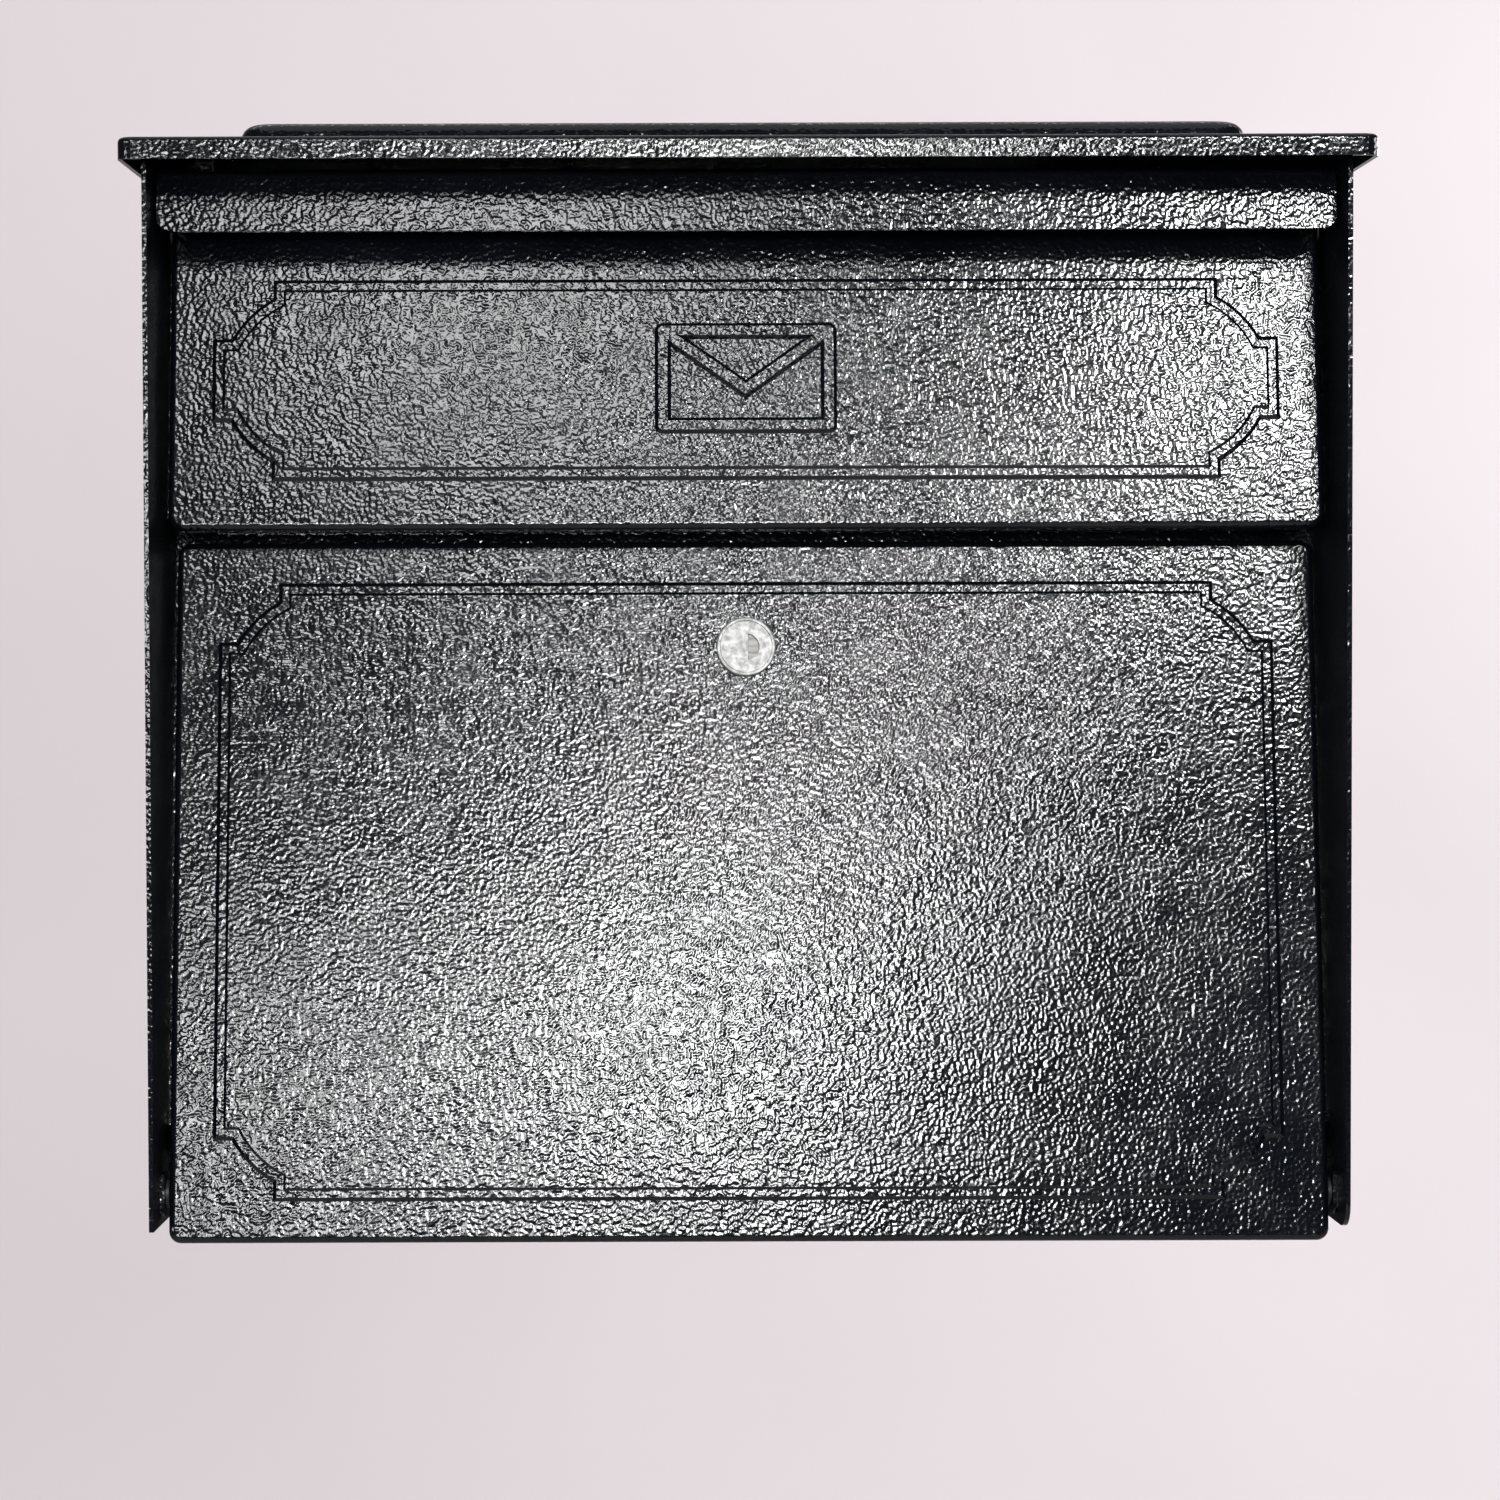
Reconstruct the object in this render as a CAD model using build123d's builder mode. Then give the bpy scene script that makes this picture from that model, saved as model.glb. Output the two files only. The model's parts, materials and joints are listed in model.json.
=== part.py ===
from build123d import *
import os
from math import cos, radians, sin, tan

# Wall mailbox in painted sheet steel: a fixed body under a sloping roof, a top-hinged mail flap
# and a bottom-hinged access door with a cam lock.
#
# Frame: +X to the right as the box is faced, +Y into the wall, +Z up. The origin is the centre of
# the wall holes, on the back face. All sizes are in millimetres.
#
# The flap, the door and the frame behind them lean back together. They are drawn in the leaning
# frame: v runs up the door's face from its bottom edge, n runs out of that face.

# ---- driving dimensions ----

body_width = 388.0  # over the side panels
body_depth = 152.0  # back face to the side panels' front edges, at the top
front_height = 349.0  # side panels' bottom edge to the roof's underside, at the front
mount_up = 166.0  # side panels' bottom edge to the centre of the wall holes
sheet = 1.5  # body panels, 16 gauge
door_sheet = 1.9  # flap and door, 14 gauge
bend = 2.6  # outside radius of a body panel's bends

# side panels
side_rake = 9.0  # how much less deep the side panels are at the bottom
side_corner = 8.5  # radius of their front bottom corner
lap = 14.0  # width of the flanges that are spot-welded to a neighbour
lap_gap = 1.0  # between flanges that end side by side

# roof
roof_slope = 2.2  # degrees, rising to the wall
roof_side = 6.0  # overhang past each side panel
roof_front = 13.0  # overhang past the side panels' front edges
lip = 7.0  # height of the roof's turned-down edge
roof_corner = 4.8
roof_bend = 1.6
crown_inset = 26.3  # roof's side edge to the foot of the raised crown
crown_from_wall = 14.0
crown_depth = 84.0
crown_height = 14.8
crown_corner = 14.0
crown_draft = 14.0  # degrees
crown_round = 5.0

# lean of the flap, the door and their frame
lean = 6.0  # degrees, tops back
door_recess = 10.7  # door's bottom edge behind the side panels' front edges
door_drop = 5.4  # door's bottom edge below the side panels
pan_depth = 14.0  # depth of the flap's and the door's turned-back edges
seat_gap = 1.6  # turned-back edge to the frame behind it, bridged by the bumpers
door_side_gap = 2.9  # door to each side panel
flap_side_gap = 2.5  # flap to each side panel
pan_bend = 2.2  # outside radius round the flap's and the door's faces
hem = 6.0  # depth of their turned-back bottom edges
door_corner = 4.0
flap_corner = 5.0

# valance under the roof
hood_gap = 5.3  # roof's underside to the valance's top
valance_proud = 43.0  # valance's face out from the door's face
valance_height = 20.2
valance_gap = 1.4  # to each side panel
valance_corner = 5.0

# mail flap
flap_proud = 19.1  # flap's face out from the door's face
flap_height = 105.5
flap_relief = 3.5  # side edges stop this far above the bottom edge
flap_gap = 1.2  # flap's bottom edge to the door's top edge
flap_axis_down = 12.5  # hinge rod below the valance's top
flap_axis_back = 8.1  # hinge rod behind the flap's face
flap_top_over = 4.0  # flap's top edge above the rod

# mail slot behind the flap
slot_side = 22.0  # frame width beside the slot
slot_sill = 20.5  # slot's lower edge above the flap's bottom edge
slot_head = 23.0  # slot's upper edge below the valance's web
rail_up = 6.5  # cross rail's web above the flap's bottom edge
rail_drop = 18.0  # cross rail's strike leg below the flap's bottom edge

# decorative raised field on the flap and the door
field_side = 14.2  # side edge to the field
door_field_top = 13.8
door_field_bottom = 13.5
flap_field_top = 22.1
flap_field_bottom = 16.0
field_step = 1.0  # height of the outer step
field_second = 0.7  # height of the inner step
field_ribbon = 3.5  # outer step's edge to the inner step's edge
corner_step = 6.2  # straight steps at both ends of a corner's arc
corner_span = 13.6  # width and height of a corner's arc
corner_bulge = 1.3  # how far the arc stands out from its chord
outer_slope = 1.3  # width of the outer step's sloping side
inner_slope = 0.95
step_foot = 0.1  # upright foot of each slope

# raised envelope sign on the flap
sign_width = 60.0
sign_height = 37.0
sign_stroke = 5.4
sign_rise = 1.4
sign_slope = 1.2  # width of its sloping sides
sign_dip = 19.5  # the envelope's V below its top edge

# floor
floor_up = 21.0  # floor's underside above the side panels' bottom edge
floor_lip = 10.0
skirt = 12.0  # floor's turned-down side edges

# security baffle behind the slot
baffle_reach = 56.0
baffle_drop = 28.0
baffle_side_gap = 1.0

# hinges
rod_d = 5.0
pin_clearance = 0.06  # radial, in every hole that turns
ear_wall = 2.7  # steel round the rod in its brackets
ear_in = 72.0  # bracket to the flap's side edge
ear_foot = 16.0
push_nut = 0.7
washer_d = 9.5
door_axis_up = 16.0  # hinge pins above the door's bottom edge
door_axis_back = 7.0  # hinge pins behind the door's face
plate_margin = 2.0  # pin brackets' plates beyond the same steel round the pin
door_washer = 1.0
clip_thick = 0.8
play = 0.3  # side play of washers and clips

# rubber bumpers
bumper_d = 6.0
bumper_short = 0.1  # bumper to the closed pan's edge
bumper_in = 28.0  # bumper to the end of the jamb

# cam lock
lock_down = 36.0  # lock's axis below the door's top edge
lock_head_d = 19.6
lock_head = 3.0
lock_barrel_d = 16.0
lock_flats = 14.0
lock_hole_gap = 0.1
plug_face_d = 17.1
plug_face = 1.5
plug_set_in = 0.25  # plug's face below the head's rim
plug_d = 11.0
plug_gap = 0.08
keyway_r = 4.4
keyway_flat = 0.6  # keyway's flat side off the lock's axis
keyway_depth = 6.0
keyway_bar = 2.1  # width of the smooth bar beside the keyway
keyway_bar_rise = 0.12
shutter_sunk = 1.1
shutter_thick = 1.6
shutter_gap = 0.08
nut_flats = 20.0
nut_thick = 3.0
cam_gap = 0.7  # cam to the strike in front of it
cam_thick = 1.8
cam_width = 12.0
cam_boss_d = 14.0
cam_length = 30.0
cam_square = 7.0
cam_screw_d = 9.0
cam_screw_head = 2.4
cam_screw_cross = 6.3
cam_screw_slot = 1.2
cam_screw_thread_d = 4.0

# wall holes
hole_pitch_x = 254.0
hole_pitch_z = 203.2
hole_d = 9.0

# ---- worked out from the driving dimensions ----

half_body = body_width / 2
half_inside = half_body - sheet
bottom_z = -mount_up
top_front_z = bottom_z + front_height
slope = tan(radians(roof_slope))
lean_sin = sin(radians(lean))
lean_cos = cos(radians(lean))

door_foot_y = -(body_depth - side_rake - door_recess)
door_foot_z = bottom_z - door_drop

valance_top = (top_front_z - hood_gap - door_foot_z - valance_proud * lean_sin) / lean_cos
flap_axis_v = valance_top - flap_axis_down
flap_axis_n = flap_proud - flap_axis_back
flap_top = flap_axis_v + flap_top_over
flap_bottom = flap_top - flap_height
door_top = flap_bottom - flap_gap
half_flap = half_inside - flap_side_gap
half_door = half_inside - door_side_gap

slot_face = flap_proud - pan_depth - seat_gap  # n of the slot frame's front
jamb_face = -pan_depth - seat_gap  # n of the jambs' front
rail_web = flap_bottom + rail_up
rail_low = flap_bottom - rail_drop
slot_low = flap_bottom + slot_sill
slot_high = valance_top - sheet - slot_head
lock_v = door_top - lock_down
field_rise = field_step + field_second
floor_z = bottom_z + floor_up
floor_v = (floor_z - door_foot_z - jamb_face * lean_sin) / lean_cos  # at the floor's front edge
jamb_foot = floor_v + floor_lip


def leaning(n, v):
    """World y and z of a point in the leaning frame."""
    return (door_foot_y + v * lean_sin - n * lean_cos, door_foot_z + v * lean_cos + n * lean_sin)


def under_roof(y):
    """Height of the roof's underside."""
    return top_front_z + (y + body_depth) * slope


out_of_door = Vector(0, -lean_cos, lean_sin)
face_plane = Plane(origin=(0, door_foot_y, door_foot_z), x_dir=(1, 0, 0), z_dir=out_of_door)


def across(x):
    """Plane of a section at x: its first axis is n and its second v, and it extrudes towards -X."""
    return Plane(origin=(x, door_foot_y, door_foot_z), x_dir=out_of_door, z_dir=(-1, 0, 0))


def world_section(x):
    """The same in world axes: first axis y, second z. It extrudes towards +X."""
    return Plane(origin=(x, 0, 0), x_dir=(0, 1, 0), z_dir=(1, 0, 0))


def bent(plane, points, thick, radius, side):
    """Section of a bent sheet whose one face follows the points."""
    with BuildSketch(plane) as section:
        with BuildLine():
            FilletPolyline(*points, radius=radius)
            offset(amount=thick, side=side)
        make_face()
    return section.sketch


def border(half_width, half_height):
    """The raised field's outline: each corner is a step, a shallow arc and a step."""
    near = corner_step + corner_span
    start = (half_width - corner_step, half_height - near)
    finish = (half_width - near, half_height - corner_step)
    middle = corner_span / 2
    out = corner_bulge * sin(radians(45))
    crest = (start[0] - middle + out, start[1] + middle + out)
    with BuildSketch() as outline:
        with BuildLine():
            Polyline((half_width, 0), (half_width, start[1]), start)
            ThreePointArc(start, crest, finish)
            Polyline(finish, (finish[0], half_height), (0, half_height))
            mirror(about=Plane.YZ)
            mirror(about=Plane.XZ)
        make_face()
    return outline.sketch


def face_top(solid, plane):
    """The face of a solid that stands furthest out of a plane."""
    return solid.faces().sort_by(Axis(plane.origin, plane.z_dir))[-1]


def ring(outside_d, inside_d):
    """A washer's outline."""
    with BuildSketch() as outline:
        Circle(outside_d / 2)
        Circle(inside_d / 2, mode=Mode.SUBTRACT)
    return outline.sketch


def pan(plane, half_width, low, high, corner_low, corner_high):
    """A face with all its edges turned back, before any trimming."""
    with BuildPart() as blank:
        with BuildSketch(plane) as outline:
            with Locations((0, (low + high) / 2)):
                Rectangle(2 * half_width, high - low)
            fillet(outline.vertices().group_by(Axis.Y)[0], corner_low)
            fillet(outline.vertices().group_by(Axis.Y)[-1], corner_high)
        extrude(amount=-pan_depth)
        fillet(face_top(blank, plane).edges(), pan_bend)
        with BuildSketch(plane.offset(-door_sheet)) as inside:
            add(outline.sketch_local)
            offset(amount=-door_sheet)
        extrude(amount=-pan_depth, mode=Mode.SUBTRACT)
    return blank.part


def raise_field(plane, half_width, low, high):
    """The two steps of the raised field, to be added to a pan's face."""
    centre = plane * Pos(0, (low + high) / 2)
    outer = border(half_width, (high - low) / 2)
    inner = offset(outer, amount=-field_ribbon, kind=Kind.INTERSECTION)
    with BuildPart() as steps:
        for outline, foot, rise, slope in (
            (outer, 0, field_step, outer_slope),
            (inner, field_step, field_second, inner_slope),
        ):
            with BuildSketch(Plane(centre).offset(foot)):
                add(outline)
            extrude(amount=rise)
            top = face_top(steps, plane)
            chamfer(top.outer_wire().edges(), slope, rise - step_foot, reference=top)
    return steps.part


def field_hollow(plane, half_width, low, high):
    """The hollow that the pressing leaves behind the raised field."""
    outer = border(half_width, (high - low) / 2)
    inner = offset(outer, amount=-field_ribbon - door_sheet / 2, kind=Kind.INTERSECTION)
    with BuildPart() as hollow:
        with BuildSketch(Plane(plane.offset(-door_sheet) * Pos(0, (low + high) / 2))):
            add(inner)
        extrude(amount=field_rise)
    return hollow.part


# ---- body ----

with BuildPart() as back_panel:
    back_line = [
        (-lap, bottom_z),
        (0, bottom_z),
        (0, under_roof(0)),
        (-lap, under_roof(-lap)),
    ]
    extrude(bent(world_section(-half_inside), back_line, sheet, bend, Side.LEFT), amount=2 * half_inside)
    for side in (-1, 1):
        with BuildSketch(Plane.XZ.offset(sheet)):
            with Locations((side * (half_inside - sheet / 2), (bottom_z + top_front_z) / 2)):
                Rectangle(sheet, front_height - 2 * bend)
        extrude(amount=lap - sheet)
    with BuildSketch(Plane.XZ):
        with GridLocations(hole_pitch_x, hole_pitch_z, 2, 2):
            Circle(hole_d / 2)
    extrude(amount=sheet, mode=Mode.SUBTRACT)


def side_panel(side):
    """A flat side with its front bottom corner rounded and a top flange under the roof."""
    front_foot = -(body_depth - side_rake)
    flange_front = leaning(slot_face, valance_top)[0]
    flange_back = -lap - lap_gap
    with BuildPart() as panel:
        with BuildSketch(world_section(side * (half_body - sheet / 2))) as outline:
            with BuildLine():
                Polyline(
                    (0, bottom_z),
                    (front_foot, bottom_z),
                    (-body_depth, top_front_z),
                    (0, under_roof(0)),
                    close=True,
                )
            make_face()
            fillet(outline.vertices().sort_by(Axis.Y)[:2].sort_by(Axis.Z)[0], side_corner)
        extrude(amount=sheet / 2, both=True)
        with BuildSketch(world_section(side * (half_inside - lap / 2))):
            with BuildLine():
                Polyline(
                    (flange_back, under_roof(flange_back)),
                    (flange_front, under_roof(flange_front)),
                    (flange_front, under_roof(flange_front) - sheet),
                    (flange_back, under_roof(flange_back) - sheet),
                    close=True,
                )
            make_face()
        extrude(amount=lap / 2, both=True)
    return panel.part


with BuildPart() as left_side_panel:
    add(side_panel(-1))

with BuildPart() as right_side_panel:
    add(side_panel(1))

with BuildPart() as floor_panel:
    lip_foot = leaning(jamb_face, floor_v)
    lip_top = leaning(jamb_face, jamb_foot)
    floor_line = [(-sheet, floor_z + lap), (-sheet, floor_z), lip_foot, lip_top]
    floor_half = half_inside - sheet
    skirt_back = -lap - lap_gap
    skirt_front = lip_foot[0] + bend
    extrude(bent(world_section(-floor_half), floor_line, sheet, bend, Side.RIGHT), amount=2 * floor_half)
    for side in (-1, 1):
        with BuildSketch(Plane.XY.offset(floor_z + sheet)):
            with Locations((side * (half_inside - sheet / 2), (skirt_back + skirt_front) / 2)):
                Rectangle(sheet, skirt_back - skirt_front)
        extrude(amount=-skirt)

roof_front_y = -(body_depth + roof_front)
roof_top_z = under_roof(roof_front_y) + sheet / cos(radians(roof_slope))
roof_plane = Plane(
    origin=(0, roof_front_y, roof_top_z),
    x_dir=(1, 0, 0),
    z_dir=(0, -sin(radians(roof_slope)), cos(radians(roof_slope))),
)
roof_length = (-roof_front_y - lip * sin(radians(roof_slope))) / cos(radians(roof_slope))
half_roof = half_body + roof_side
crown_middle = roof_length - crown_from_wall - crown_depth / 2
crown_half = half_roof - crown_inset

with BuildPart() as hollow:
    with BuildSketch(roof_plane.offset(-sheet)):
        with Locations((0, crown_middle)):
            RectangleRounded(2 * (crown_half - sheet), crown_depth - 2 * sheet, crown_corner - sheet)
    extrude(amount=crown_height, taper=crown_draft)
    fillet(face_top(hollow, roof_plane).edges(), crown_round - sheet)
crown_hollow = hollow.part

with BuildPart() as roof_cap:
    with BuildSketch(roof_plane) as roof_outline:
        with Locations((0, roof_length / 2)):
            Rectangle(2 * half_roof, roof_length)
        fillet(roof_outline.vertices().group_by(Axis.Y)[0], roof_corner)
    extrude(amount=-lip)
    roof_edges = face_top(roof_cap, roof_plane).edges().sort_by(Axis.Y)[:-1]
    fillet(roof_edges, roof_bend)
    with BuildSketch(roof_plane.offset(-sheet)):
        with Locations((0, sheet + roof_length / 2)):
            Rectangle(2 * (half_roof - sheet), roof_length)
    extrude(amount=-lip, mode=Mode.SUBTRACT)
    with BuildSketch(roof_plane):
        with Locations((0, crown_middle)):
            RectangleRounded(2 * crown_half, crown_depth, crown_corner)
    extrude(amount=crown_height, taper=crown_draft)
    fillet(face_top(roof_cap, roof_plane).edges(), crown_round)
    add(crown_hollow, mode=Mode.SUBTRACT)

with BuildPart() as valance:
    half_valance = half_inside - valance_gap
    valance_line = [
        (valance_proud, valance_top - valance_height),
        (valance_proud, valance_top),
        (slot_face - 2 * sheet, valance_top),
        (slot_face - 2 * sheet, valance_top - lap),
    ]
    extrude(bent(across(half_valance), valance_line, sheet, bend, Side.LEFT), amount=2 * half_valance)
    lower_edges = valance.edges().filter_by(Axis((0, 0, 0), out_of_door)).group_by(Axis.Z)[0]
    fillet(lower_edges, valance_corner)

# ---- frame behind the flap and the door ----

with BuildPart() as slot_frame:
    frame_low = rail_web
    frame_high = valance_top - bend
    frame_middle = (frame_low + frame_high) / 2
    with BuildSketch(face_plane.offset(slot_face)):
        with Locations((0, frame_middle)):
            Rectangle(2 * half_inside, frame_high - frame_low)
        with Locations((0, (slot_low + slot_high) / 2)):
            RectangleRounded(2 * (half_inside - slot_side), slot_high - slot_low, bend, mode=Mode.SUBTRACT)
    extrude(amount=-sheet)
    for side in (-1, 1):
        with BuildSketch(face_plane.offset(slot_face - sheet)):
            with Locations((side * (half_inside - sheet / 2), frame_middle)):
                Rectangle(sheet, frame_high - frame_low - 2 * lap)
        extrude(amount=-lap)

with BuildPart() as cross_rail:
    rail_line = [
        (jamb_face, rail_low),
        (jamb_face, rail_web),
        (slot_face - sheet, rail_web),
        (slot_face - sheet, rail_web + lap),
    ]
    extrude(bent(across(half_inside), rail_line, sheet, bend, Side.LEFT), amount=2 * half_inside)
    with BuildSketch(face_plane.offset(jamb_face)):
        for side in (-1, 1):
            with Locations((side * (half_inside - lap / 2), (rail_low + rail_web) / 2)):
                Rectangle(lap, rail_web - rail_low)
    extrude(amount=sheet + bend, both=True, mode=Mode.SUBTRACT)


def jamb(side):
    """An angle strip welded to the side panel, for the door to close against."""
    middle = (jamb_foot + rail_web) / 2
    with BuildPart() as strip:
        with BuildSketch(face_plane.offset(jamb_face)):
            with Locations((side * (half_inside - lap / 2), middle)):
                Rectangle(lap, rail_web - jamb_foot)
        extrude(amount=-sheet)
        with BuildSketch(face_plane.offset(jamb_face - sheet)):
            with Locations((side * (half_inside - sheet / 2), middle)):
                Rectangle(sheet, rail_web - jamb_foot)
        extrude(amount=-lap)
    return strip.part


with BuildPart() as left_jamb:
    add(jamb(-1))

with BuildPart() as right_jamb:
    add(jamb(1))

with BuildPart() as security_baffle:
    baffle_foot = rail_web + sheet
    baffle_line = [
        (slot_face - 2 * sheet, rail_web + lap),
        (slot_face - 2 * sheet, baffle_foot),
        (-baffle_reach, baffle_foot),
        (-baffle_reach, baffle_foot - baffle_drop),
    ]
    half_baffle = half_inside - baffle_side_gap
    extrude(bent(across(half_baffle), baffle_line, sheet, bend, Side.RIGHT), amount=2 * half_baffle)

# ---- flap and its hinge ----

flap_plane = face_plane.offset(flap_proud)
half_flap_field = half_flap - field_side
flap_field = (half_flap_field, flap_bottom + flap_field_bottom, flap_top - flap_field_top)

with BuildPart() as mail_flap:
    add(pan(flap_plane, half_flap, flap_bottom, flap_top, flap_corner, door_sheet))
    with BuildSketch(flap_plane.offset(-door_sheet)):
        with Locations((0, flap_top)):
            Rectangle(2 * (half_flap - door_sheet), 2 * pan_bend)
    extrude(amount=-pan_depth, mode=Mode.SUBTRACT)
    with BuildSketch(flap_plane.offset(-hem)):
        with Locations((0, flap_bottom)):
            Rectangle(2 * half_flap, 2 * flap_relief)
    extrude(amount=-pan_depth, mode=Mode.SUBTRACT)
    back_edges = mail_flap.edges().filter_by(Axis.X).group_by(Axis(flap_plane.origin, out_of_door))[0]
    fillet(back_edges, flap_relief)
    add(raise_field(flap_plane, *flap_field))
    add(field_hollow(flap_plane, *flap_field), mode=Mode.SUBTRACT)
    with BuildSketch(across(half_flap)):
        with Locations((flap_axis_n, flap_axis_v)):
            Circle(rod_d / 2 + pin_clearance)
    extrude(amount=2 * half_flap, mode=Mode.SUBTRACT)
    sign_middle = (flap_field[1] + flap_field[2]) / 2
    with BuildSketch(flap_plane.offset(field_rise)):
        with Locations((0, sign_middle)):
            RectangleRounded(sign_width, sign_height, sign_stroke / 2)
            Rectangle(sign_width - 2 * sign_stroke, sign_height - 2 * sign_stroke, mode=Mode.SUBTRACT)
        with BuildLine():
            shoulder = sign_middle + sign_height / 2 - sign_stroke / 2
            reach = (sign_width - sign_stroke) / 2
            Polyline((-reach, shoulder), (0, shoulder - sign_dip), (reach, shoulder))
        trace(line_width=sign_stroke)
    extrude(amount=sign_rise)
    sign_top = face_top(mail_flap, flap_plane)
    chamfer(sign_top.edges(), sign_slope, sign_rise - step_foot, reference=sign_top)

ear_r = rod_d / 2 + ear_wall

with BuildPart() as flap_hinge_brackets:
    for side in (-1, 1):
        ear_x = side * (half_flap - ear_in)
        with BuildSketch(face_plane.offset(slot_face)):
            with Locations((ear_x - side * ear_foot / 2, flap_axis_v)):
                Rectangle(ear_foot, 2 * ear_r)
        extrude(amount=sheet)
        with BuildSketch(across(ear_x + max(0, -side) * sheet)):
            with Locations(((slot_face + flap_axis_n) / 2, flap_axis_v)):
                Rectangle(flap_axis_n - slot_face, 2 * ear_r)
            with Locations((flap_axis_n, flap_axis_v)):
                Circle(ear_r)
                Circle(rod_d / 2, mode=Mode.SUBTRACT)
        extrude(amount=sheet)

half_rod = half_flap + play + 2 * push_nut

with BuildPart() as flap_hinge_rod:
    with BuildSketch(across(half_rod)):
        with Locations((flap_axis_n, flap_axis_v)):
            Circle(rod_d / 2)
    extrude(amount=2 * half_rod)
    chamfer(flap_hinge_rod.edges().filter_by(GeomType.CIRCLE), push_nut / 2)

with BuildPart() as rod_push_nuts:
    for end in (half_flap + play + push_nut, -half_flap - play):
        with BuildSketch(across(end)):
            with Locations((flap_axis_n, flap_axis_v)):
                add(ring(washer_d, rod_d))
        extrude(amount=push_nut)

with BuildPart() as flap_bumpers:
    with BuildSketch(face_plane.offset(slot_face)):
        for side in (-1, 1):
            with Locations((side * (half_flap - door_sheet / 2), rail_web + bumper_d)):
                Circle(bumper_d / 2)
    extrude(amount=seat_gap - bumper_short)
    fillet(flap_bumpers.faces().group_by(Axis((0, 0, 0), out_of_door))[-1].edges(), seat_gap / 3)

# ---- access door and its hinge ----

half_door_field = half_door - field_side
door_field = (half_door_field, door_field_bottom, door_top - door_field_top)
lock_plane = Plane(face_plane * Pos(0, lock_v))

with BuildPart() as access_door:
    add(pan(face_plane, half_door, 0, door_top, door_corner, door_corner))
    with BuildSketch(face_plane.offset(-hem)):
        Rectangle(2 * half_door, 2 * door_corner)
    extrude(amount=-pan_depth, mode=Mode.SUBTRACT)
    rear = access_door.edges().filter_by(Axis.X).group_by(Axis((0, 0, 0), out_of_door))[0]
    fillet(rear.group_by(Axis.Z)[0], pan_depth / 2)
    add(raise_field(face_plane, *door_field))
    add(field_hollow(face_plane, *door_field), mode=Mode.SUBTRACT)
    with BuildSketch(lock_plane.offset(-pan_depth)):
        Circle(lock_barrel_d / 2 + lock_hole_gap)
        Rectangle(lock_flats + 2 * lock_hole_gap, lock_head_d, mode=Mode.INTERSECT)
    extrude(amount=2 * pan_depth, mode=Mode.SUBTRACT)
    with BuildSketch(across(half_door)):
        with Locations((-door_axis_back, door_axis_up)):
            Circle(rod_d / 2 + pin_clearance)
    extrude(amount=2 * half_door, mode=Mode.SUBTRACT)

bracket_plate = 2 * (ear_r + plate_margin)

with BuildPart() as door_hinge_brackets:
    for start in (half_inside, -half_inside + sheet):
        with BuildSketch(across(start)):
            with Locations((-door_axis_back, door_axis_up)):
                RectangleRounded(bracket_plate, bracket_plate, bend)
                Circle(rod_d / 2, mode=Mode.SUBTRACT)
        extrude(amount=sheet)

pin_inside = half_door - door_sheet - play - 2 * clip_thick

with BuildPart() as door_hinge_pins:
    for start in (half_inside, -pin_inside):
        with BuildSketch(across(start)):
            with Locations((-door_axis_back, door_axis_up)):
                Circle(rod_d / 2)
        extrude(amount=half_inside - pin_inside)

with BuildPart() as door_hinge_washers:
    for start in (half_inside - sheet, -half_inside + sheet + door_washer):
        with BuildSketch(across(start)):
            with Locations((-door_axis_back, door_axis_up)):
                add(ring(washer_d, rod_d))
        extrude(amount=door_washer)

with BuildPart() as door_hinge_clips:
    for start in (pin_inside + 2 * clip_thick, -pin_inside - clip_thick):
        with BuildSketch(across(start)):
            with Locations((-door_axis_back, door_axis_up)):
                add(ring(washer_d, rod_d))
            with Locations((-door_axis_back, door_axis_up - washer_d / 2)):
                Rectangle(rod_d / 2, washer_d, mode=Mode.SUBTRACT)
        extrude(amount=clip_thick)

with BuildPart() as door_bumpers:
    with BuildSketch(face_plane.offset(jamb_face)):
        for side in (-1, 1):
            for height in (jamb_foot + bumper_in, rail_web - bumper_in):
                with Locations((side * (half_door - door_sheet / 2), height)):
                    Circle(bumper_d / 2)
    extrude(amount=seat_gap - bumper_short)
    fillet(door_bumpers.faces().group_by(Axis((0, 0, 0), out_of_door))[-1].edges(), seat_gap / 3)

# ---- cam lock ----

head_top = field_rise + lock_head
plug_top = head_top - plug_set_in
cam_front = jamb_face - sheet - cam_gap
door_inner = field_rise - door_sheet

with BuildPart() as lock_body:
    with BuildSketch(lock_plane.offset(field_rise)):
        Circle(lock_head_d / 2)
    extrude(amount=lock_head)
    fillet(face_top(lock_body, lock_plane).edges(), plug_set_in * 2)
    with BuildSketch(lock_plane.offset(field_rise)):
        Circle(lock_barrel_d / 2)
        Rectangle(lock_flats, lock_head_d, mode=Mode.INTERSECT)
    extrude(amount=cam_front + plug_gap - field_rise)
    with BuildSketch(lock_plane.offset(plug_top - plug_face - plug_gap)):
        Circle(plug_face_d / 2 + 2 * plug_gap)
    extrude(amount=lock_head, mode=Mode.SUBTRACT)
    with BuildSketch(lock_plane.offset(head_top)):
        Circle(plug_d / 2 + plug_gap)
    extrude(amount=cam_front - 2 * head_top, mode=Mode.SUBTRACT)

with BuildPart() as lock_nut:
    with BuildSketch(lock_plane.offset(door_inner)):
        RegularPolygon(radius=nut_flats / 2, side_count=6, major_radius=False)
        Circle(lock_barrel_d / 2, mode=Mode.SUBTRACT)
    extrude(amount=-nut_thick)


def keyway(gap):
    """Half-moon outline beside the plug's axis, a gap smaller all round."""
    with BuildSketch() as outline:
        Circle(keyway_r - gap)
        with Locations((keyway_flat + gap + keyway_r / 2, 0)):
            Rectangle(keyway_r, 2 * keyway_r, mode=Mode.INTERSECT)
    return outline.sketch


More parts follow.
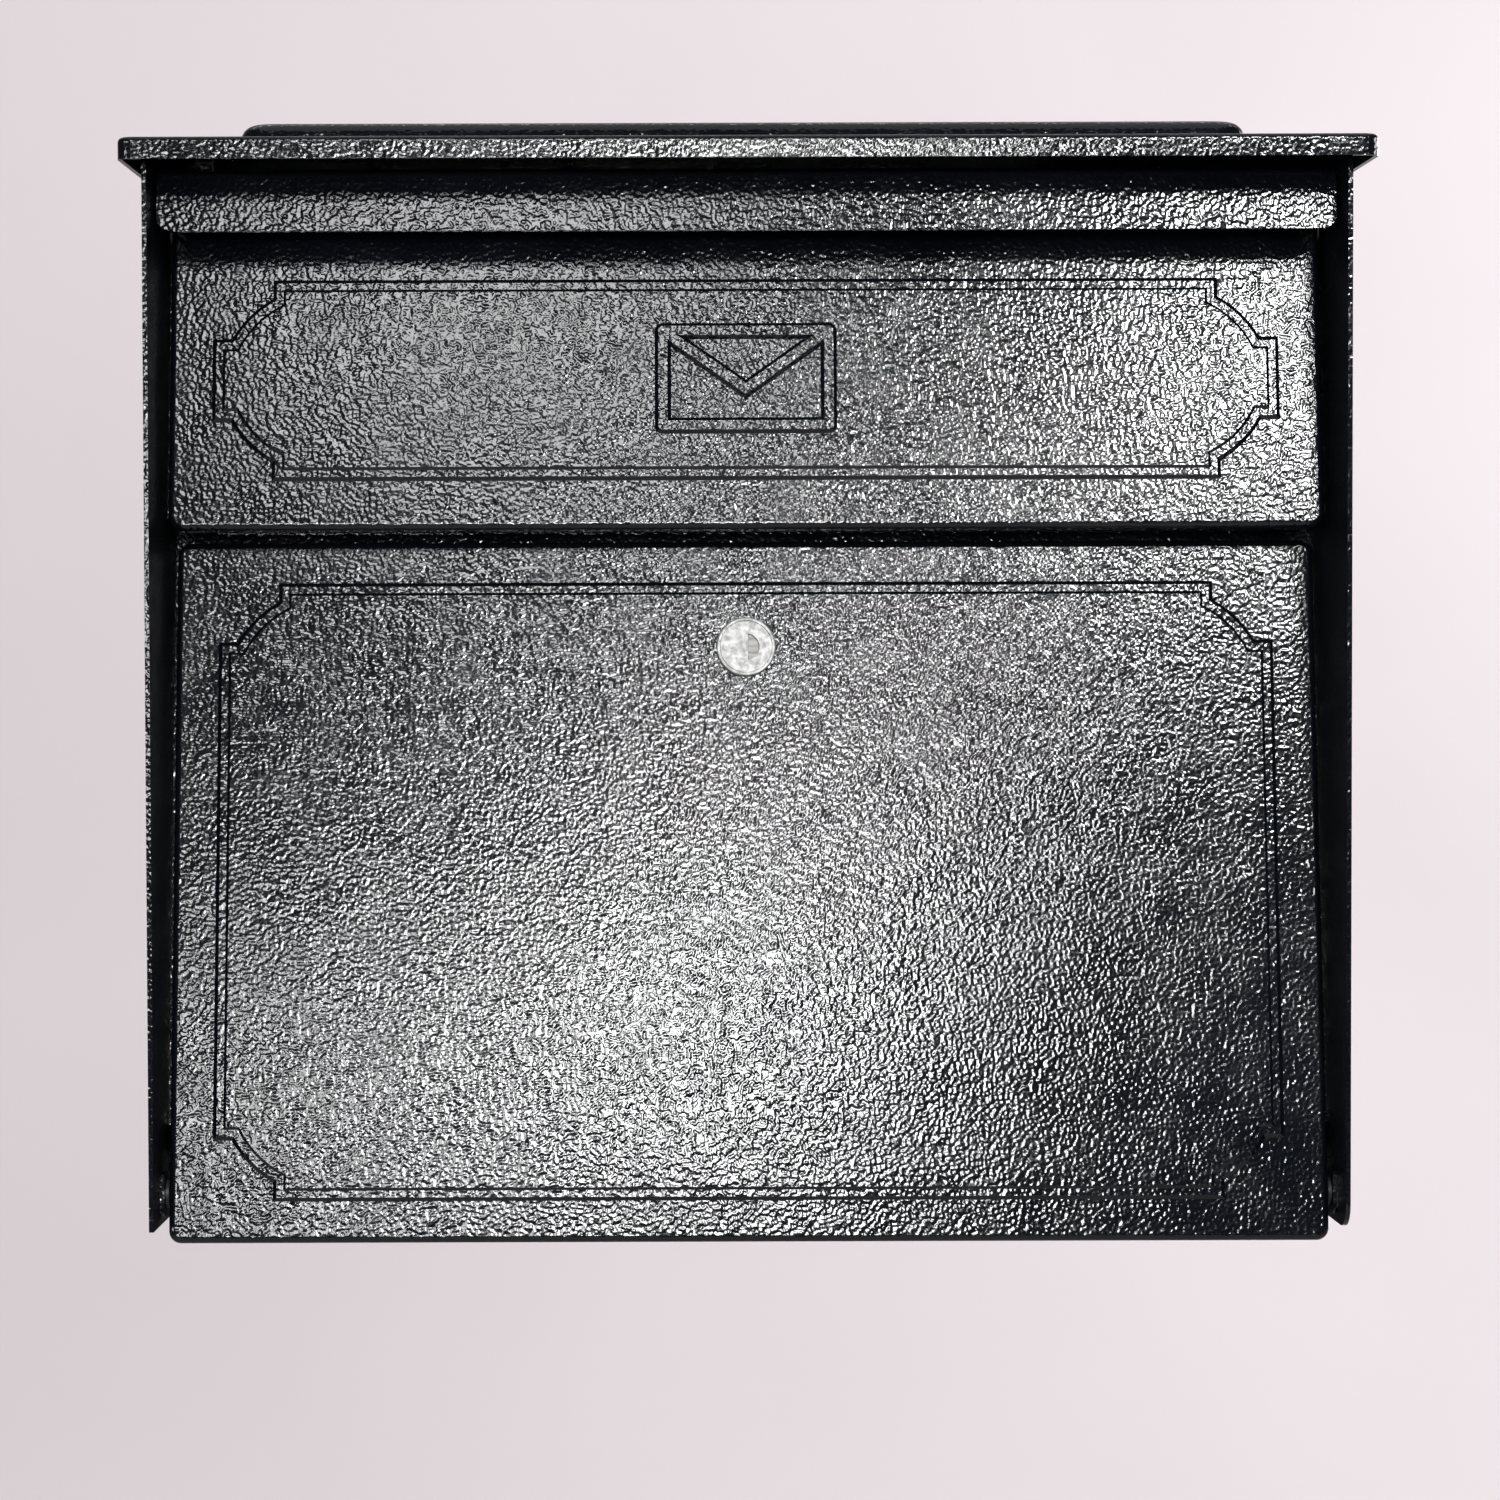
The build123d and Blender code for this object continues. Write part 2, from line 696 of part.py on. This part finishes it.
with BuildPart() as lock_plug:
    with BuildSketch(lock_plane.offset(plug_top)):
        Circle(plug_face_d / 2)
    extrude(amount=-plug_face)
    with BuildSketch(lock_plane.offset(plug_top - plug_face)):
        Circle(plug_d / 2)
    extrude(amount=cam_front - plug_top + plug_face)
    with BuildSketch(lock_plane.offset(cam_front)):
        Rectangle(cam_square, cam_square)
    extrude(amount=-cam_thick)
    with BuildSketch(lock_plane.offset(plug_top)):
        add(keyway(0))
    extrude(amount=-keyway_depth, mode=Mode.SUBTRACT)
    with BuildSketch(lock_plane.offset(plug_top)):
        with Locations((keyway_flat - keyway_bar / 2, 0)):
            Rectangle(keyway_bar, 2 * keyway_r)
    extrude(amount=keyway_bar_rise)
    with BuildSketch(lock_plane.offset(cam_front - cam_thick)):
        Circle(cam_screw_thread_d / 2)
    extrude(amount=2 * cam_screw_thread_d, mode=Mode.SUBTRACT)

with BuildPart() as keyway_shutter:
    with BuildSketch(lock_plane.offset(plug_top - shutter_sunk)):
        add(keyway(shutter_gap))
    extrude(amount=-shutter_thick)

with BuildPart() as lock_cam:
    with BuildSketch(lock_plane.offset(cam_front)):
        Circle(cam_boss_d / 2)
        with Locations((-cam_length / 2, 0)):
            RectangleRounded(cam_length, cam_width, cam_width / 4)
        Rectangle(cam_square, cam_square, mode=Mode.SUBTRACT)
    extrude(amount=-cam_thick)

with BuildPart() as cam_screw:
    with BuildSketch(lock_plane.offset(cam_front - cam_thick)):
        Circle(cam_screw_d / 2)
    extrude(amount=-cam_screw_head)
    fillet(face_top(cam_screw, Plane(lock_plane.origin, z_dir=-out_of_door)).edges(), cam_screw_head / 3)
    with BuildSketch(lock_plane.offset(cam_front - cam_thick - cam_screw_head)):
        Rectangle(cam_screw_cross, cam_screw_slot)
        Rectangle(cam_screw_slot, cam_screw_cross)
    extrude(amount=cam_screw_head / 2, mode=Mode.SUBTRACT)
    with BuildSketch(lock_plane.offset(cam_front - cam_thick)):
        Circle(cam_screw_thread_d / 2)
    extrude(amount=2 * cam_screw_thread_d)

# ---- one STEP file for each node ----

pieces = {
    "back_panel": back_panel,
    "left_side_panel": left_side_panel,
    "right_side_panel": right_side_panel,
    "floor_panel": floor_panel,
    "roof_cap": roof_cap,
    "valance": valance,
    "slot_frame": slot_frame,
    "cross_rail": cross_rail,
    "left_jamb": left_jamb,
    "right_jamb": right_jamb,
    "security_baffle": security_baffle,
    "mail_flap": mail_flap,
    "flap_hinge_brackets": flap_hinge_brackets,
    "flap_hinge_rod": flap_hinge_rod,
    "rod_push_nuts": rod_push_nuts,
    "flap_bumpers": flap_bumpers,
    "access_door": access_door,
    "door_hinge_brackets": door_hinge_brackets,
    "door_hinge_pins": door_hinge_pins,
    "door_hinge_washers": door_hinge_washers,
    "door_hinge_clips": door_hinge_clips,
    "door_bumpers": door_bumpers,
    "lock_body": lock_body,
    "lock_nut": lock_nut,
    "lock_plug": lock_plug,
    "keyway_shutter": keyway_shutter,
    "lock_cam": lock_cam,
    "cam_screw": cam_screw,
}

os.makedirs("parts", exist_ok=True)
for name, piece in pieces.items():
    piece.part.label = name
    export_step(piece.part, f"parts/{name}.step")
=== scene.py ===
import json
from math import cos, radians, sin

import bpy
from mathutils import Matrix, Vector

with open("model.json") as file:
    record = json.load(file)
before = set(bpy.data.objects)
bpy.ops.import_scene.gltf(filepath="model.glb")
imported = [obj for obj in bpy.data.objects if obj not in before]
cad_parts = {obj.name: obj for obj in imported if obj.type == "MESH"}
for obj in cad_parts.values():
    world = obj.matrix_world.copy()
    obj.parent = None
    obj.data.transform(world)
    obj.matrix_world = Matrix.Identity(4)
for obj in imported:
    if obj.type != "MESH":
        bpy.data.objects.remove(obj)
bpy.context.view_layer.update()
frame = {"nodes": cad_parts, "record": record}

nodes = frame["nodes"]
scene = bpy.context.scene

PALE = (0.91, 0.83, 0.855, 1.0)  # the backdrop, as the camera sees it
WALL_Y = 2.3  # the backdrop's wall, behind the object

# ---- materials ----

NOISE_LOW, NOISE_HIGH = 0.3, 0.7  # the part of a noise's range that a mottle uses


class Paint:
    """A material's node tree, written as calls that return sockets."""

    def __init__(self, name):
        self.material = bpy.data.materials.new(name)
        self.material.use_nodes = True
        self.tree = self.material.node_tree
        self.tree.nodes.clear()
        self.shader = self.tree.nodes.new("ShaderNodeBsdfPrincipled")
        output = self.tree.nodes.new("ShaderNodeOutputMaterial")
        self.tree.links.new(self.shader.outputs[0], output.inputs[0])
        coordinates = self.tree.nodes.new("ShaderNodeTexCoord")
        self.place = coordinates.outputs["Object"]
        self.facing = coordinates.outputs["Normal"]

    def put(self, socket, value):
        if isinstance(value, bpy.types.NodeSocket):
            self.tree.links.new(value, socket)
        else:
            socket.default_value = value

    def noise(self, scale, detail=2.0, roughness=0.5, stretch=None):
        """Noise with that many features to the metre."""
        node = self.tree.nodes.new("ShaderNodeTexNoise")
        self.put(node.inputs["Vector"], self.stretched(stretch))
        for key, value in (("Scale", scale), ("Detail", detail), ("Roughness", roughness)):
            node.inputs[key].default_value = value
        return node.outputs[0]

    def cells(self, scale, smooth):
        """The distance to the nearest of that many points to the metre."""
        node = self.tree.nodes.new("ShaderNodeTexVoronoi")
        node.feature = "SMOOTH_F1"
        self.put(node.inputs["Vector"], self.place)
        node.inputs["Scale"].default_value = scale
        node.inputs["Smoothness"].default_value = smooth
        return node.outputs["Distance"]

    def across(self, vector):
        """A vector's X component."""
        node = self.tree.nodes.new("ShaderNodeSeparateXYZ")
        self.put(node.inputs[0], vector)
        return node.outputs[0]

    def stretched(self, stretch):
        if stretch is None:
            return self.place
        node = self.tree.nodes.new("ShaderNodeMapping")
        self.put(node.inputs["Vector"], self.place)
        node.inputs["Scale"].default_value = stretch
        return node.outputs[0]

    def math(self, operation, a, b=0.0):
        node = self.tree.nodes.new("ShaderNodeMath")
        node.operation = operation
        self.put(node.inputs[0], a)
        self.put(node.inputs[1], b)
        return node.outputs[0]

    def spread(self, value, low, high, to_low=0.0, to_high=1.0):
        """Maps low..high to to_low..to_high, smoothly and clamped."""
        node = self.tree.nodes.new("ShaderNodeMapRange")
        node.interpolation_type = "SMOOTHSTEP"
        for index, given in enumerate((value, low, high, to_low, to_high)):
            self.put(node.inputs[index], given)
        return node.outputs[0]

    def mottle(self, value, to_low=0.0, to_high=1.0):
        """Maps the middle of a noise's range to to_low..to_high."""
        return self.spread(value, NOISE_LOW, NOISE_HIGH, to_low, to_high)

    def blend(self, share, a, b):
        node = self.tree.nodes.new("ShaderNodeMix")
        node.data_type = "RGBA"
        self.put(node.inputs["Factor"], share)
        for socket, colour in ((node.inputs[6], a), (node.inputs[7], b)):
            self.put(socket, colour if isinstance(colour, bpy.types.NodeSocket) else (*colour, 1.0))
        return node.outputs[2]

    def bump(self, height, depth, under=None):
        """Relief of that depth in metres."""
        node = self.tree.nodes.new("ShaderNodeBump")
        node.inputs["Strength"].default_value = 1.0
        node.inputs["Distance"].default_value = depth
        self.put(node.inputs["Height"], height)
        if under is not None:
            self.put(node.inputs["Normal"], under)
        return node.outputs[0]

    def finish(self, **sockets):
        names = {"colour": "Base Color", "roughness": "Roughness", "metallic": "Metallic",
                 "normal": "Normal", "specular": "Specular IOR Level"}
        for key, value in sockets.items():
            self.put(self.shader.inputs[names[key]], value)
        return self.material


def hammered_black():
    """Glossy black powder coat with a hammered skin; the side walls that face inwards get painted
    shade, with less gloss and more roughness.
    """
    dome_scale, grain_scale, wave_scale = 620, 800, 38  # features to the metre
    dome_share = 0.7
    skin_depth, wave_depth = 0.00015, 0.0002
    wall_near, wall_full = 0.12, 0.17  # distance from the middle, where the inward walls start and finish taking painted shade
    # painted shade on the inward walls: extra roughness, and a gloss that falls to the second value
    painted_shade_roughening = 0.45
    gloss, painted_shade_gloss = 0.55, 0.08
    m = Paint("hammered_black")
    edge = m.cells(dome_scale, 1.0)
    domes = m.math("MULTIPLY", edge, edge)
    grain = m.noise(grain_scale, detail=0.0)
    height = m.math("SUBTRACT", grain, m.math("MULTIPLY", domes, dome_share))
    waves = m.noise(wave_scale, detail=1.0)
    normal = m.bump(height, skin_depth, m.bump(waves, wave_depth))
    tone = m.mottle(m.noise(14, detail=3.0))
    colour = m.blend(tone, (0.0018, 0.0026, 0.0042), (0.0030, 0.0042, 0.0066))
    outward = m.math("MULTIPLY", m.across(m.place), m.across(m.facing))
    # painted shade mask: 1 on the side walls that face inwards, where the gloss is turned down to
    # darken them
    shade_painted_walls = m.spread(outward, -wall_full, -wall_near, 1.0, 0.0)
    rough = m.mottle(m.noise(60, detail=3.0), 0.10, 0.15)
    rough = m.math("ADD", rough, m.math("MULTIPLY", shade_painted_walls, painted_shade_roughening))
    specular = m.spread(shade_painted_walls, 0.0, 1.0, gloss, painted_shade_gloss)
    return m.finish(colour=colour, roughness=rough, normal=normal, specular=specular)


def lock_zinc():
    """Satin die-cast zinc, faintly mottled."""
    speck_share, speck_depth = 0.35, 0.00002
    wear_low, wear_high = 0.5, 0.9
    m = Paint("lock_zinc")
    blotches = m.noise(420, detail=4.0, roughness=0.65)
    specks = m.noise(2600, detail=2.0, roughness=0.6)
    wear = m.math("ADD", blotches, m.math("MULTIPLY", specks, speck_share))
    worn = m.spread(wear, wear_low, wear_high)
    colour = m.blend(worn, (0.46, 0.46, 0.45), (0.32, 0.32, 0.313))
    rough = m.mottle(blotches, 0.56, 0.68)
    return m.finish(colour=colour, roughness=rough, metallic=1.0,
                    normal=m.bump(specks, speck_depth))


def plated_steel():
    """Dull zinc plating with faint drawing lines along X; its dark grey is partly painted shade for
    the keyway.
    """
    line_stretch, line_depth = 0.05, 0.000015
    m = Paint("plated_steel")
    lines = m.noise(700, detail=3.0, stretch=(line_stretch, 1.0, 1.0))
    clouds = m.noise(90, detail=3.0)
    # the dark grey is partly painted shade, so the keyway shutter reads as dark as the recess it
    # sits in
    colour = m.blend(m.spread(clouds, 0.35, 0.65), (0.17, 0.168, 0.16), (0.12, 0.122, 0.125))
    rough = m.mottle(lines, 0.45, 0.58)
    return m.finish(colour=colour, roughness=rough, metallic=1.0, normal=m.bump(lines, line_depth))


def bumper_rubber():
    """Matte black rubber with a fine grain."""
    grain_depth = 0.00003
    m = Paint("bumper_rubber")
    grain = m.noise(1800, detail=2.0)
    colour = m.blend(m.mottle(grain), (0.018, 0.018, 0.018), (0.035, 0.034, 0.033))
    return m.finish(colour=colour, roughness=m.mottle(grain, 0.6, 0.75),
                    normal=m.bump(grain, grain_depth))


def washer_nylon():
    """Nylon, slightly cloudy; its black is partly painted shade round the door hinges."""
    cloud_depth = 0.00002
    m = Paint("washer_nylon")
    cloud = m.noise(300, detail=2.0)
    # the near black is partly painted shade, so the washers stay as dark as the shaded hinge
    # corners
    colour = m.blend(m.mottle(cloud), (0.016, 0.016, 0.017), (0.028, 0.028, 0.030))
    return m.finish(colour=colour, roughness=m.mottle(cloud, 0.38, 0.5),
                    normal=m.bump(cloud, cloud_depth))


builders = (hammered_black, lock_zinc, plated_steel, bumper_rubber, washer_nylon)
made = {build.__name__: build() for build in builders}
for part in frame["record"]["subparts"]:
    shown = nodes[part["node"]]
    shown.data.materials.clear()
    shown.data.materials.append(made[part["material_slot"]])

# ---- floor and backdrop ----


def sweep():
    """A floor that curves up into a wall behind the object, as one smooth sheet."""
    floor_z, curve_r, half_width, front_y, top_z = -0.9, 0.8, 7.0, -7.0, 4.0
    curve_steps = 16
    camera_glow = 0.44  # keeps the sheet pale to the camera and adds no light
    profile = [(front_y, floor_z)]
    for step in range(curve_steps + 1):
        a = radians(90 * step / curve_steps)
        profile.append((WALL_Y - curve_r + curve_r * sin(a), floor_z + curve_r - curve_r * cos(a)))
    profile.append((WALL_Y, top_z))
    points = [(x, y, z) for x in (-half_width, half_width) for y, z in profile]
    count = len(profile)
    faces = [(i, i + count, i + count + 1, i + 1) for i in range(count - 1)]
    mesh = bpy.data.meshes.new("studio_sweep")
    mesh.from_pydata(points, [], faces)
    for face in mesh.polygons:
        face.use_smooth = True
    piece = bpy.data.objects.new("studio_sweep", mesh)
    scene.collection.objects.link(piece)
    m = Paint("studio_paper")
    colour = m.blend(m.mottle(m.noise(2.0)), (0.36, 0.33, 0.34), (0.38, 0.35, 0.36))
    m.shader.inputs["Emission Color"].default_value = PALE
    lit = m.tree.nodes.new("ShaderNodeLightPath").outputs["Is Camera Ray"]
    m.put(m.shader.inputs["Emission Strength"], m.math("MULTIPLY", lit, camera_glow))
    mesh.materials.append(m.finish(colour=colour, roughness=0.9, specular=0.1))


sweep()

# ---- light ----


def soft_light(name, power, target, azimuth, elevation, distance, width, height):
    """A rectangular light that faces its target. Azimuth 0 is straight in front, + to the right."""
    a, e = radians(azimuth), radians(elevation)
    out = Vector((sin(a) * cos(e), -cos(a) * cos(e), sin(e)))
    data = bpy.data.lights.new(name, "AREA")
    data.shape, data.size, data.size_y = "RECTANGLE", width, height
    data.energy = power
    light = bpy.data.objects.new(name, data)
    light.location = Vector(target) + out * distance
    light.rotation_mode = "QUATERNION"
    light.rotation_quaternion = out.to_track_quat("Z", "Y")
    light.visible_camera = False
    scene.collection.objects.link(light)


DOOR = (0.0, -0.12, 0.0)  # near the middle of the leaning front
INSIDE = (0.0, -0.08, 0.0)  # in the box, behind that front
REACH = 2.2  # from the object to the lights round it
# name: power in watts, target, azimuth and elevation in degrees, distance, width, height
LIGHTS = {
    "front": (14.5, DOOR, 0, 3, REACH, 0.34, 0.30),
    "upper_right": (21.0, DOOR, 18, 21, REACH, 0.34, 0.30),
    "upper_left": (7.0, DOOR, -6, 23, REACH, 0.50, 0.34),
    "middle": (4.0, DOOR, 5, 12, REACH, 0.18, 0.16),
    "low_left": (5.0, DOOR, -13, 1, REACH, 0.30, 0.30),
    "front_left": (9.0, INSIDE, -50, 2, REACH, 0.50, 0.60),
    "right_side": (9.0, INSIDE, 92, 9, REACH, 0.60, 0.60),
    "back_right": (10.0, INSIDE, 137, 12, REACH, 0.60, 0.60),
    "overhead": (40.0, (0.0, 0.0, 0.0), 0, 88, 3.6, 5.0, 5.0),
    "wall_wash": (18.0, (0.0, WALL_Y, 0.2), 0, 50, 1.9, 3.0, 1.0),
    "right_wash": (20.0, (0.6, WALL_Y, 0.2), 50, 10, 1.5, 1.0, 1.0),
}
for name, facts in LIGHTS.items():
    soft_light(name, *facts)

# a dim blue sky for reflections, and the pale backdrop colour where the camera looks past the sweep
world = bpy.data.worlds.new("studio")
world.use_nodes = True
tree = world.node_tree
tree.nodes.clear()
sky = tree.nodes.new("ShaderNodeBackground")
sky.inputs["Color"].default_value = (0.70, 0.80, 1.0, 1.0)
sky.inputs["Strength"].default_value = 0.06
pale = tree.nodes.new("ShaderNodeBackground")
pale.inputs["Color"].default_value = PALE
seen = tree.nodes.new("ShaderNodeMixShader")
tree.links.new(tree.nodes.new("ShaderNodeLightPath").outputs["Is Camera Ray"], seen.inputs[0])
tree.links.new(sky.outputs[0], seen.inputs[1])
tree.links.new(pale.outputs[0], seen.inputs[2])
tree.links.new(seen.outputs[0], tree.nodes.new("ShaderNodeOutputWorld").inputs[0])
scene.world = world
scene.view_settings.view_transform = "Standard"

# ---- camera ----

eye = (-0.024, -1.152, 0.0)
roll = 0.17  # degrees

lens = bpy.data.cameras.new("camera")
lens.lens, lens.sensor_width = 75.0, 36.0
lens.shift_x, lens.shift_y = 0.0507, -0.022
lens.clip_start, lens.clip_end = 0.05, 60.0
camera = bpy.data.objects.new("camera", lens)
camera.location = eye
camera.rotation_euler = (radians(90), radians(roll), 0)
scene.collection.objects.link(camera)
scene.camera = camera
